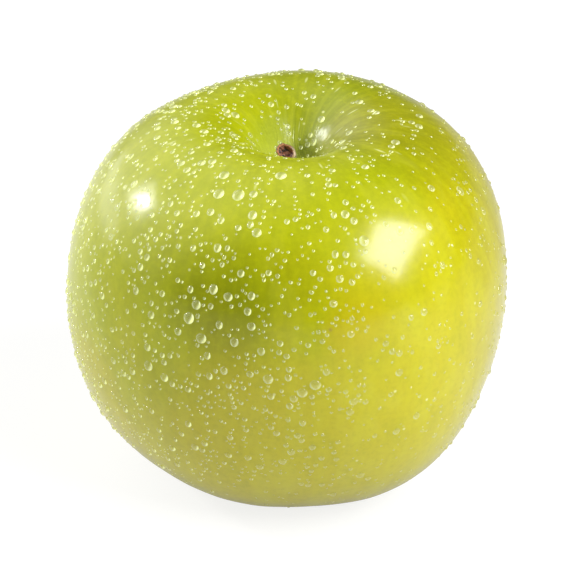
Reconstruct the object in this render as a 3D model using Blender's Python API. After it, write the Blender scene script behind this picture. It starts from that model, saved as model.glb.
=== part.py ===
"""A fresh green apple: the fruit, its woody stem and the five dried sepals of its calyx.

Blender script, metres, +Z up. The origin is on the resting surface, under the middle of the fruit.
The fruit is one solid. It is a turned profile, bent out of round by a few slow waves around its axis.
"""

import math

import bmesh
import bpy
import numpy as np

MM = 0.001

# Driving dimensions of the fruit, in millimetres.
MAX_RADIUS = 40.0
HEIGHT = 69.6
WIDEST_HEIGHT = 38.0
FULLNESS = 2.1  # 2 makes each half of the flank a quarter of an ellipse, more makes it squarer
FLAT_DEPTH = 0.35  # how far the foot is pressed flat where the fruit rests
STEM_CAVITY_DEPTH = 12.6
CALYX_BASIN_DEPTH = 8.2

# The fruit's profile as (radius, height), from the middle of the basin below to the cavity above.
BASIN = [(0.0, CALYX_BASIN_DEPTH), (2.8, 7.6), (7.2, 3.3)]
FOOT = (12.5, 0.0)
CREST = (16.5, HEIGHT + FLAT_DEPTH)
CAVITY = [(10.4, 68.4), (6.4, 64.6), (3.5, 59.9), (0.0, CREST[1] - STEM_CAVITY_DEPTH)]
FLANK_SPANS = 5  # on each side of the widest place
RINGS_PER_SPAN = 3
FRUIT_SEGMENTS = 80

# Waves around the axis, each as (share of the radius, number of crests, angle of a crest in degrees).
LEAN = (0.045, 1, -40.0)  # grows from nothing at mid height, opposite ways up and down
OVAL = (0.012, 2, -45.0)
THREE_SIDED = (0.025, 3, -55.0)
FOOT_LOBES = (0.016, 5, 29.0)  # the five bumps that the fruit stands on
CREST_LOBES = (0.007, 5, 11.0)

# The stem: its middle line as (x, y, z) from the cavity's axis, and its radius at each point.
STEM_LINE = [(0.0, 0.0, 57.6), (0.1, -0.2, 59.8), (0.0, -1.1, 62.1), (-0.4, -2.5, 64.3), (-0.85, -4.1, 65.8)]
STEM_RADII = [1.2, 1.05, 1.1, 1.45, 2.0]
STEM_RINGS = 13
STEM_SEGMENTS = 16
SCAR_RIM = 0.72  # the scar inside the stem's end, as a share of the end's radius
SCAR_DEPTH = 0.35

# A sepal: its middle line as (radius, height) in the basin, and its half width at each point.
SEPAL_LINE = [(2.45, 6.6), (2.0, 5.2), (2.3, 3.7), (3.3, 2.5), (4.3, 2.1)]
SEPAL_HALF_WIDTHS = [0.95, 1.0, 0.8, 0.5, 0.15]
SEPAL_THICKNESS = 0.4
SEPAL_COUNT = 5
SEPAL_RINGS = 11
SEPAL_CURL = 0.25  # how far a sepal's edges bend away from its middle, as a share of the half width


def smooth_step(value):
    """0 below 0, 1 above 1, with level ends."""
    value = np.clip(value, 0.0, 1.0)
    return value * value * (3.0 - 2.0 * value)


def flank():
    """The fruit's side, between foot and crest, as a superellipse quarter below the widest place and above."""
    points = []
    for end, steps in ((FOOT, range(FLANK_SPANS - 1, 0, -1)), (CREST, range(FLANK_SPANS))):
        for step in steps:
            turn = 0.5 * math.pi * step / FLANK_SPANS
            out = math.cos(turn) ** (2.0 / FULLNESS)
            along = math.sin(turn) ** (2.0 / FULLNESS)
            radius = end[0] + (MAX_RADIUS - end[0]) * out
            points.append((radius, WIDEST_HEIGHT + (end[1] - WIDEST_HEIGHT) * along))
    return points


def smooth_curve(points, start_slope=None, end_slope=None):
    """A curve through the points as a function of chord length, and the chord length at each point.

    Its curvature is continuous. A slope is its direction at that end; without one it runs out straight.
    """
    points = np.array(points, float)
    knots = np.concatenate([[0.0], np.cumsum(np.linalg.norm(np.diff(points, axis=0), axis=1))])
    gaps = np.diff(knots)
    count = len(points)
    matrix = np.zeros((count, count))
    sides = np.zeros_like(points)
    for i in range(1, count - 1):
        matrix[i, i - 1 : i + 2] = gaps[i - 1], 2.0 * (gaps[i - 1] + gaps[i]), gaps[i]
        sides[i] = 6.0 * ((points[i + 1] - points[i]) / gaps[i] - (points[i] - points[i - 1]) / gaps[i - 1])
    matrix[0, 0] = matrix[-1, -1] = 1.0
    if start_slope is not None:
        matrix[0, :2] = 2.0 * gaps[0], gaps[0]
        sides[0] = 6.0 * ((points[1] - points[0]) / gaps[0] - np.array(start_slope))
    if end_slope is not None:
        matrix[-1, -2:] = gaps[-1], 2.0 * gaps[-1]
        sides[-1] = 6.0 * (np.array(end_slope) - (points[-1] - points[-2]) / gaps[-1])
    bends = np.linalg.solve(matrix, sides)

    def at(length):
        i = min(max(int(np.searchsorted(knots, length, side="right")) - 1, 0), count - 2)
        before, after, gap = length - knots[i], knots[i + 1] - length, gaps[i]
        curved = (bends[i] * after**3 + bends[i + 1] * before**3) / (6.0 * gap)
        left = (points[i] / gap - bends[i] * gap / 6.0) * after
        right = (points[i + 1] / gap - bends[i + 1] * gap / 6.0) * before
        return curved + left + right

    return at, knots


def samples_in_spans(curve, knots, per_span):
    """Points along the curve, with the same number in each span between its own points."""
    lengths = [a + (b - a) * i / per_span for a, b in zip(knots, knots[1:]) for i in range(per_span)]
    return [curve(length) for length in [*lengths, knots[-1]]]


def wave(form, angle):
    share, crests, crest_angle = form
    return share * math.cos(crests * (angle - math.radians(crest_angle)))


def fruit_point(radius, height, angle):
    """A profile point turned to an angle, with the fruit's lean, ovalness and lobes."""
    level = height / HEIGHT
    near_foot = 1.0 - smooth_step((level - 0.05) / 0.5)
    near_crest = smooth_step((level - 0.55) / 0.4)
    stretch = 1.0 + wave(LEAN, angle) * (2.0 * level - 1.0) + wave(OVAL, angle) + wave(THREE_SIDED, angle)
    stretch += wave(FOOT_LOBES, angle) * near_foot + wave(CREST_LOBES, angle) * near_crest
    return (
        radius * stretch * math.cos(angle),
        radius * stretch * math.sin(angle),
        max(height - FLAT_DEPTH, 0.0),
    )


def add_ring(mesh, points):
    return [mesh.verts.new([c * MM for c in point]) for point in points]


def bridge(mesh, rings):
    """Quads between rings that each close on themselves."""
    for lower, upper in zip(rings, rings[1:]):
        for i, corner in enumerate(lower):
            j = (i + 1) % len(lower)
            mesh.faces.new((corner, lower[j], upper[j], upper[i]))


def fan(mesh, ring, point):
    """Triangles from a ring to one point."""
    tip = mesh.verts.new([c * MM for c in point])
    for i, corner in enumerate(ring):
        mesh.faces.new((corner, ring[(i + 1) % len(ring)], tip))


def make_object(name, mesh, material, parent, sharp_angle=60.0):
    bmesh.ops.recalc_face_normals(mesh, faces=mesh.faces)
    data = bpy.data.meshes.new(name)
    mesh.to_mesh(data)
    mesh.free()
    data.shade_smooth()
    data.set_sharp_from_angle(angle=math.radians(sharp_angle))
    data.materials.append(material)
    obj = bpy.data.objects.new(name, data)
    obj.parent = parent
    bpy.context.scene.collection.objects.link(obj)
    return obj


def make_material(name, colour, roughness):
    material = bpy.data.materials.new(name)
    material.use_nodes = True
    shader = material.node_tree.nodes["Principled BSDF"]
    shader.inputs["Base Color"].default_value = (*colour, 1.0)
    shader.inputs["Roughness"].default_value = roughness
    shader.inputs["Metallic"].default_value = 0.0
    return material


def clear_scene():
    for obj in list(bpy.data.objects):
        bpy.data.objects.remove(obj, do_unlink=True)


def fruit_rings():
    """The fruit's rings of points from the basin up, and its two points on the axis."""
    profile = [*BASIN, FOOT, *flank(), CREST, *CAVITY]
    curve, knots = smooth_curve(profile, start_slope=(1.0, 0.0), end_slope=(-1.0, 0.0))
    outline = samples_in_spans(curve, knots, RINGS_PER_SPAN)
    angles = [2.0 * math.pi * i / FRUIT_SEGMENTS for i in range(FRUIT_SEGMENTS)]
    rings = [[fruit_point(r, z, angle) for angle in angles] for r, z in outline[1:-1]]
    ends = [(0.0, 0.0, z - FLAT_DEPTH) for _, z in (outline[0], outline[-1])]
    return rings, ends


def middle_of(rings):
    """The middle of all points in plan, so that the fruit can stand centred on the origin."""
    plan = np.array([point[:2] for ring in rings for point in ring])
    return (plan.min(axis=0) + plan.max(axis=0)) / 2.0


def make_fruit(rings, ends, material, axis):
    mesh = bmesh.new()
    made = [add_ring(mesh, ring) for ring in rings]
    bridge(mesh, made)
    fan(mesh, made[0], ends[0])
    fan(mesh, made[-1], ends[1])
    return make_object("fruit", mesh, material, axis)


def ring_across(centre, direction, radius, segments):
    """A circle of points about a centre, square to a direction that isn't level with X."""
    forward = direction / np.linalg.norm(direction)
    side = np.cross(forward, (1.0, 0.0, 0.0))
    side /= np.linalg.norm(side)
    up = np.cross(forward, side)
    turns = [2.0 * math.pi * i / segments for i in range(segments)]
    return [centre + radius * (math.cos(t) * side + math.sin(t) * up) for t in turns]


def make_stem(material, axis):
    """A thin bent stem that swells to the knob where it parted from the tree, with a hollow scar."""
    curve, knots = smooth_curve([(*point, radius) for point, radius in zip(STEM_LINE, STEM_RADII)])
    lengths = np.linspace(0.0, knots[-1], STEM_RINGS)
    line = np.array([curve(length) for length in lengths])
    directions = np.gradient(line[:, :3], axis=0)
    mesh = bmesh.new()
    rings = [
        add_ring(mesh, ring_across(row[:3], direction, row[3], STEM_SEGMENTS))
        for row, direction in zip(line, directions)
    ]
    end, forward, end_radius = line[-1, :3], directions[-1] / np.linalg.norm(directions[-1]), line[-1, 3]
    rings.append(add_ring(mesh, ring_across(end, forward, end_radius * SCAR_RIM, STEM_SEGMENTS)))
    bridge(mesh, rings)
    fan(mesh, rings[0], line[0, :3])
    fan(mesh, rings[-1], end - forward * SCAR_DEPTH)
    return make_object("stem", mesh, material, axis)


def make_sepal(number, material, axis):
    """One dried sepal: a tapering strip that stands in the basin and curls outwards at its tip."""
    curve, knots = smooth_curve([(r, z, w) for (r, z), w in zip(SEPAL_LINE, SEPAL_HALF_WIDTHS)])
    rows = np.array([curve(length) for length in np.linspace(0.0, knots[-1], SEPAL_RINGS)])
    slopes = np.gradient(rows[:, :2], axis=0)
    mesh = bmesh.new()
    rings = []
    for (radius, height, half_width), slope in zip(rows, slopes):
        outward = np.array([-slope[1], slope[0]]) / np.linalg.norm(slope)
        cross_section = []
        for side, face in ((-1, -1), (0, -1), (1, -1), (1, 1), (0, 1), (-1, 1)):
            lift = face * SEPAL_THICKNESS / 2.0 + abs(side) * SEPAL_CURL * half_width
            point = np.array([radius, height]) + outward * lift
            cross_section.append((point[0], side * half_width, point[1]))
        rings.append(add_ring(mesh, cross_section))
    bridge(mesh, rings)
    for end in (rings[0], rings[-1]):
        mesh.faces.new(end)
    bmesh.ops.triangulate(mesh, faces=mesh.faces)
    sepal = make_object(f"sepal_{number}", mesh, material, axis, sharp_angle=35.0)
    sepal.rotation_euler.z = 2.0 * math.pi * (number - 0.5) / SEPAL_COUNT
    return sepal


def main():
    clear_scene()
    rings, ends = fruit_rings()
    middle = middle_of(rings)
    axis = bpy.data.objects.new("core_axis", None)
    axis.location = (-middle[0] * MM, -middle[1] * MM, 0.0)
    bpy.context.scene.collection.objects.link(axis)
    skin = make_material("apple_skin", (0.46, 0.55, 0.02), 0.25)
    bark = make_material("stem_bark", (0.16, 0.07, 0.03), 0.75)
    dried = make_material("dried_calyx", (0.12, 0.07, 0.035), 0.85)
    make_fruit(rings, ends, skin, axis)
    make_stem(bark, axis)
    for number in range(1, SEPAL_COUNT + 1):
        make_sepal(number, dried, axis)


main()
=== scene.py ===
"""A fresh, wet green apple: its waxy skin, woody stem, dried calyx and water beads, on a white table.

The script is laid out as an add-on. Each piece has an operator, and a panel in the sidebar lists them.
Lengths are in millimetres up to the point where a mesh is made, which is in metres.
"""

import math
import random

import bmesh
import bpy
import numpy as np
from bpy.props import FloatProperty, FloatVectorProperty, IntProperty, PointerProperty
from bpy.types import Operator, Panel, PropertyGroup
from mathutils import Matrix, Vector, noise


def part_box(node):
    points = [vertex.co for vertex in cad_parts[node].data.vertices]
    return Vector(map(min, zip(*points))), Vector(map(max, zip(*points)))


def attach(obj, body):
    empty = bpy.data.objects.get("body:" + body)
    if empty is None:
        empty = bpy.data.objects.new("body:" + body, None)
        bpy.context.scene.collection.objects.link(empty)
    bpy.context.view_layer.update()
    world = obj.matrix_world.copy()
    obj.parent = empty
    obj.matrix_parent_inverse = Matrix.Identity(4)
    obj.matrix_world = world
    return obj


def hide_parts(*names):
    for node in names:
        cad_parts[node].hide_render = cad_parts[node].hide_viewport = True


bl_info = {
    "name": "Wet Green Apple",
    "version": (1, 0, 0),
    "blender": (4, 5, 0),
    "location": "3D View > Sidebar > Apple",
    "description": "Grows the skin, stem, calyx and water beads of a green apple over its CAD model",
    "category": "Object",
}

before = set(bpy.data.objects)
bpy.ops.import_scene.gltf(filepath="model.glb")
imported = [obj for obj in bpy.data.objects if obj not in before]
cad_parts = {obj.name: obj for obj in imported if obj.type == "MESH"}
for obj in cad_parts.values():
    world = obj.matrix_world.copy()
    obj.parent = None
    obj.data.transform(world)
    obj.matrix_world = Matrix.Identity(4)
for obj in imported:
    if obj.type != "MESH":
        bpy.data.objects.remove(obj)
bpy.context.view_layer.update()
MM = 0.001

# The fruit, as its CAD solid has it: the profile as (radius, height) from the calyx basin to the cavity.
HEIGHT = 69.6
MAX_RADIUS = 40.0
WIDEST_HEIGHT = 38.0
FULLNESS = 2.1  # 2 makes each half of the flank a quarter of an ellipse, more makes it squarer
FLANK_SPANS = 5  # on each side of the widest place
FLAT_DEPTH = 0.35  # how far the foot is pressed flat where the fruit rests
STEM_CAVITY_DEPTH = 12.6
CALYX_BASIN_DEPTH = 8.2
BASIN = [(0.0, CALYX_BASIN_DEPTH), (2.8, 7.6), (7.2, 3.3)]
FOOT = (12.5, 0.0)
CREST = (16.5, HEIGHT + FLAT_DEPTH)
CAVITY = [(10.4, 68.4), (6.4, 64.6), (3.5, 59.9), (0.0, CREST[1] - STEM_CAVITY_DEPTH)]

# Waves around the axis, each as (share of the radius, number of crests, angle of a crest in degrees).
LEAN = (0.045, 1, -40.0)
OVAL = (0.012, 2, -45.0)
THREE_SIDED = (0.025, 3, -55.0)
FOOT_LOBES = (0.016, 5, 29.0)
CREST_LOBES = (0.007, 5, 11.0)

# The stem's middle line from the cavity's axis, its radius at each point, and how its end is drawn out.
STEM_LINE = [(0.0, 0.0, 57.6), (0.1, -0.2, 59.8), (0.0, -1.1, 62.1), (-0.4, -2.5, 64.3), (-0.85, -4.1, 65.8)]
STEM_RADII = [1.2, 1.05, 1.1, 1.45, 2.0]
STEM_OVALNESS = 0.3
STEM_OVAL_TILT = 60.0  # degrees

# A sepal's middle line as (radius, height) in the basin, and its half width at each point.
SEPAL_LINE = [(2.45, 6.6), (2.0, 5.2), (2.3, 3.7), (3.3, 2.5), (4.3, 2.1)]
SEPAL_HALF_WIDTHS = [0.95, 1.0, 0.8, 0.5, 0.15]

# Loose groups of the biggest beads, each as (angle round the fruit in degrees, way along the profile, how far
# the group reaches in each, how many beads, least and greatest diameter). The last one is spread widely.
BEAD_GROUPS = [
    (250, 101, 15, 7, 8, 1.4, 2.3),
    (250, 80, 10, 6, 8, 1.5, 2.2),
    (233, 68, 6, 4, 3, 1.5, 1.9),
    (270, 70, 10, 4, 3, 1.5, 2.0),
    (300, 98, 14, 8, 2, 1.5, 1.9),
    (335, 76, 14, 10, 2, 1.8, 2.1),
    (90, 120, 6, 3, 2, 0.9, 1.1),
    (68, 78, 148, 34, 36, 1.1, 1.8),
]
BEAD_TRIES = 40
BEAD_CLEARANCE = 2.6  # between the middles of two big beads

# The two sorts of strewn beads, each as (name, segments, levels, least spacing, smallest, largest).
STREWN_BEADS = (
    ("middling_beads", 9, 3, 1.15, 0.75, 1.6),
    ("fine_beads", 7, 2, 0.7, 0.42, 0.8),
)
SQUARE_CM_PER_SQUARE_M = 1.0e4

BIG_BEAD_SEED = 11
WOBBLE_SEED = 3
THREAD_SEED = 5

# Where the lamps stand, as (azimuth from the front towards the right, elevation) in degrees.
SOFTBOX_WAY = (60.0, 39.0)
SIDE_LAMP_WAY = (-110.0, 25.0)
CARD_WAY = (-128.0, 2.0)
LIT_WALL_WAY = (-115.0, 30.0)

# How far off a lamp stands, its width and its height, in metres.
SOFTBOX_SIZE = (0.9, 0.62, 0.5)
SIDE_LAMP_SIZE = (0.9, 0.13, 0.12)
HALO_SIZE = (0.92, 0.34, 0.28)
CARD_SIZE = (0.8, 0.55, 0.16)
SOFTBOX_ROLL = 30.0  # degrees

GLINT_BRIGHTNESS = 5.0
HALO_BRIGHTNESS = 5.0
CARD_BRIGHTNESS = 1.6
CEILING_BRIGHTNESS = 0.1
SEEN_ROOM_BRIGHTNESS = 0.75

CAMERA_ELEVATION = 29.43
CAMERA_DISTANCE = 0.75
CAMERA_LENS = 256.0
CAMERA_AIM = (-0.5, 0.35, HEIGHT / 2.0 + 0.6)


class FruitSettings(PropertyGroup):
    segments: IntProperty(name="Segments", description="Faces round the fruit", default=288, min=24)
    rings: IntProperty(
        name="Rings per span", description="Rings of faces between two profile points", default=8, min=2
    )
    swell: FloatProperty(
        name="Swell",
        description="How far the skin rises and falls over a few millimetres",
        default=0.1 * MM,
        unit="LENGTH",
    )


class SkinSettings(PropertyGroup):
    leaf: FloatVectorProperty(
        name="Leaf green",
        description="Skin near the stem",
        subtype="COLOR",
        default=(0.40, 0.437, 0.0),
        size=3,
    )
    meadow: FloatVectorProperty(
        name="Meadow green",
        description="Most of the skin",
        subtype="COLOR",
        default=(0.445, 0.436, 0.0),
        size=3,
    )
    straw: FloatVectorProperty(
        name="Straw yellow",
        description="Skin that saw the sun",
        subtype="COLOR",
        default=(0.525, 0.468, 0.002),
        size=3,
    )
    # Painted shade: the colour of the deeper green cloud that stands for the shade between the two lamps'
    # light.
    shade: FloatVectorProperty(
        name="Shade green",
        description="A cloud on one side",
        subtype="COLOR",
        default=(0.17, 0.2, 0.0),
        size=3,
    )
    crown: FloatVectorProperty(
        name="Crown green", description="Round the cavity", subtype="COLOR", default=(0.24, 0.28, 0.0), size=3
    )
    gloss: FloatProperty(
        name="Wax roughness", description="Roughness of the wax coat", default=0.19, min=0.0, max=1.0
    )


class StemSettings(PropertyGroup):
    bark: FloatVectorProperty(
        name="Bark",
        description="Brown of the stem's side",
        subtype="COLOR",
        default=(0.16, 0.1, 0.045),
        size=3,
    )
    wood: FloatVectorProperty(
        name="Scar wood",
        description="Fresh orange rim of the scar",
        subtype="COLOR",
        default=(0.5, 0.2, 0.07),
        size=3,
    )


class CalyxSettings(PropertyGroup):
    husk: FloatVectorProperty(
        name="Husk",
        description="Brown of the dried sepals",
        subtype="COLOR",
        default=(0.13, 0.075, 0.035),
        size=3,
    )
    threads: IntProperty(name="Threads", description="Dried stamens in the basin", default=20, min=0)


class BeadSettings(PropertyGroup):
    middling: FloatProperty(
        name="Middling beads", description="Middling beads per square centimetre", default=17.0, min=0.0
    )
    fine: FloatProperty(
        name="Fine beads", description="Fine beads per square centimetre", default=42.0, min=0.0
    )
    seed: IntProperty(name="Seed", description="Another number scatters the beads another way", default=7)


class StudioSettings(PropertyGroup):
    softbox: FloatProperty(
        name="Softbox", description="Brightness of the big softbox at the right", default=12.0, min=0.0
    )
    side_lamp: FloatProperty(
        name="Side lamp", description="Brightness of the small softbox at the left", default=45.0, min=0.0
    )
    wall: FloatProperty(
        name="Left wall", description="Brightness of the lit wall at the left", default=1.5, min=0.0
    )
    room: FloatProperty(name="Room", description="Brightness of the dim room", default=0.08, min=0.0)
    table: FloatProperty(
        name="Table glow", description="Light that the white table gives off", default=0.82, min=0.0
    )


def smooth_step(value):
    """0 below 0, 1 above 1, with level ends."""
    value = np.clip(value, 0.0, 1.0)
    return value * value * (3.0 - 2.0 * value)


def flank():
    """The fruit's side from foot to crest: a superellipse quarter below its widest place and one above."""
    points = []
    for end, steps in ((FOOT, range(FLANK_SPANS - 1, 0, -1)), (CREST, range(FLANK_SPANS))):
        for step in steps:
            turn = 0.5 * math.pi * step / FLANK_SPANS
            out = math.cos(turn) ** (2.0 / FULLNESS)
            along = math.sin(turn) ** (2.0 / FULLNESS)
            radius = end[0] + (MAX_RADIUS - end[0]) * out
            points.append((radius, WIDEST_HEIGHT + (end[1] - WIDEST_HEIGHT) * along))
    return points


def smooth_curve(points, start_slope=None, end_slope=None):
    """A curve through the points as a function of chord length, and the chord length at each point.

    Its curvature is continuous. A slope is its direction at that end; without one it runs out straight.
    """
    points = np.array(points, float)
    knots = np.concatenate([[0.0], np.cumsum(np.linalg.norm(np.diff(points, axis=0), axis=1))])
    gaps = np.diff(knots)
    count = len(points)
    matrix = np.zeros((count, count))
    sides = np.zeros_like(points)
    for i in range(1, count - 1):
        matrix[i, i - 1 : i + 2] = gaps[i - 1], 2.0 * (gaps[i - 1] + gaps[i]), gaps[i]
        sides[i] = 6.0 * ((points[i + 1] - points[i]) / gaps[i] - (points[i] - points[i - 1]) / gaps[i - 1])
    matrix[0, 0] = matrix[-1, -1] = 1.0
    if start_slope is not None:
        matrix[0, :2] = 2.0 * gaps[0], gaps[0]
        sides[0] = 6.0 * ((points[1] - points[0]) / gaps[0] - np.array(start_slope))
    if end_slope is not None:
        matrix[-1, -2:] = gaps[-1], 2.0 * gaps[-1]
        sides[-1] = 6.0 * (np.array(end_slope) - (points[-1] - points[-2]) / gaps[-1])
    bends = np.linalg.solve(matrix, sides)

    def at(length):
        i = min(max(int(np.searchsorted(knots, length, side="right")) - 1, 0), count - 2)
        before, after, gap = length - knots[i], knots[i + 1] - length, gaps[i]
        curved = (bends[i] * after**3 + bends[i + 1] * before**3) / (6.0 * gap)
        left = (points[i] / gap - bends[i] * gap / 6.0) * after
        right = (points[i + 1] / gap - bends[i + 1] * gap / 6.0) * before
        return curved + left + right

    return at, knots


PROFILE, PROFILE_KNOTS = smooth_curve(
    [*BASIN, FOOT, *flank(), CREST, *CAVITY], start_slope=(1.0, 0.0), end_slope=(-1.0, 0.0)
)
PROFILE_LENGTH = PROFILE_KNOTS[-1]


def wave(form, angle):
    share, crests, crest_angle = form
    return share * np.cos(crests * (angle - math.radians(crest_angle)))


def fruit_point(way, angle):
    """A point of the fruit's skin, from its way along the profile and its angle around the axis."""
    radius, height = PROFILE(way)
    level = height / HEIGHT
    near_foot = 1.0 - smooth_step((level - 0.05) / 0.5)
    near_crest = smooth_step((level - 0.55) / 0.4)
    stretch = 1.0 + wave(LEAN, angle) * (2.0 * level - 1.0) + wave(OVAL, angle) + wave(THREE_SIDED, angle)
    stretch = stretch + wave(FOOT_LOBES, angle) * near_foot + wave(CREST_LOBES, angle) * near_crest
    flat_height = np.maximum(height - FLAT_DEPTH, 0.0) + 0.0 * angle
    reach = radius * stretch
    return np.stack([reach * np.cos(angle), reach * np.sin(angle), flat_height], axis=-1)


def axis_place():
    """Where the fruit's axis stands in plan, so that the fruit fills the box of its CAD solid."""
    angles = np.linspace(0.0, 2.0 * math.pi, 720, endpoint=False)
    ways = np.linspace(PROFILE_KNOTS[4], PROFILE_KNOTS[11], 60)  # the stretch that reaches furthest out
    plan = np.concatenate([fruit_point(way, angles)[:, :2] for way in ways])
    middle = (plan.min(axis=0) + plan.max(axis=0)) / 2.0
    low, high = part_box("fruit")
    x, y = [(low[i] + high[i]) / 2.0 - middle[i] * MM for i in range(2)]
    return np.array([x, y, 0.0])


AXIS = axis_place()


def skin_place(angle, way):
    """(point, outward normal) of the fruit's skin, in metres in the frame."""
    step = 0.05
    point = fruit_point(way, angle)
    around = fruit_point(way, angle + step / 40.0) - point
    along = fruit_point(way + step, angle) - point
    normal = Vector(np.cross(around, along)).normalized()
    return Vector(point * MM + AXIS), normal


class Recipe:
    """Adds nodes to a node tree and joins them."""

    def __init__(self, tree):
        self.tree = tree

    def add(self, kind, inputs=None, **settings):
        """A node with its settings made and its inputs joined or filled, by name or by number."""
        node = self.tree.nodes.new(kind)
        for name, value in settings.items():
            setattr(node, name, value)
        for name, value in (inputs or {}).items():
            self.fill(node.inputs[name], value)
        return node

    def fill(self, socket, value):
        if isinstance(value, bpy.types.NodeSocket):
            self.tree.links.new(value, socket)
        elif value is not None:
            socket.default_value = value

    def maths(self, operation, *values, clamp=False):
        inputs = dict(enumerate(values))
        return self.add("ShaderNodeMath", inputs, operation=operation, use_clamp=clamp).outputs[0]

    def spread(self, value, low, high, to_low=0.0, to_high=1.0):
        """The value's stretch from low to high, eased and held at its ends."""
        inputs = {"Value": value, "From Min": low, "From Max": high, "To Min": to_low, "To Max": to_high}
        return self.add("ShaderNodeMapRange", inputs, interpolation_type="SMOOTHSTEP").outputs["Result"]

    def blend(self, share, colour, other):
        node = self.add("ShaderNodeMix", {0: share}, data_type="RGBA")
        for number, value in ((6, colour), (7, other)):
            joined = isinstance(value, bpy.types.NodeSocket)
            self.fill(node.inputs[number], value if joined else (*value, 1.0))
        return node.outputs[2]

    def distance(self, place, centre):
        inputs = {0: place, 1: tuple(centre)}
        return self.add("ShaderNodeVectorMath", inputs, operation="DISTANCE").outputs["Value"]

    def along(self, vector, towards):
        """How far a vector goes in a fixed direction."""
        inputs = {0: vector, 1: tuple(towards)}
        return self.add("ShaderNodeVectorMath", inputs, operation="DOT_PRODUCT").outputs["Value"]

    def cloud(self, place, size, detail=3.0, roughness=0.5):
        """Soft noise from about 0.3 to 0.7, with features of this size in metres."""
        inputs = {"Vector": place, "Scale": 1.0 / size, "Detail": detail, "Roughness": roughness}
        return self.add("ShaderNodeTexNoise", inputs).outputs["Fac"]

    def dots(self, place, size, randomness=1.0):
        """(distance to the nearest dot as a share of the grid, a random colour for each dot)."""
        inputs = {"Vector": place, "Scale": 1.0 / size, "Randomness": randomness}
        node = self.add("ShaderNodeTexVoronoi", inputs)
        return node.outputs["Distance"], node.outputs["Color"]

    def bump(self, height, distance, strength=1.0, normal=None):
        inputs = {"Height": height, "Distance": distance, "Strength": strength, "Normal": normal}
        return self.add("ShaderNodeBump", inputs).outputs["Normal"]


def new_material(name):
    """(material, its recipe, its main shader) with an empty tree."""
    material = bpy.data.materials.new(name)
    material.use_nodes = True
    return material, Recipe(material.node_tree), material.node_tree.nodes["Principled BSDF"]


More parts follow.
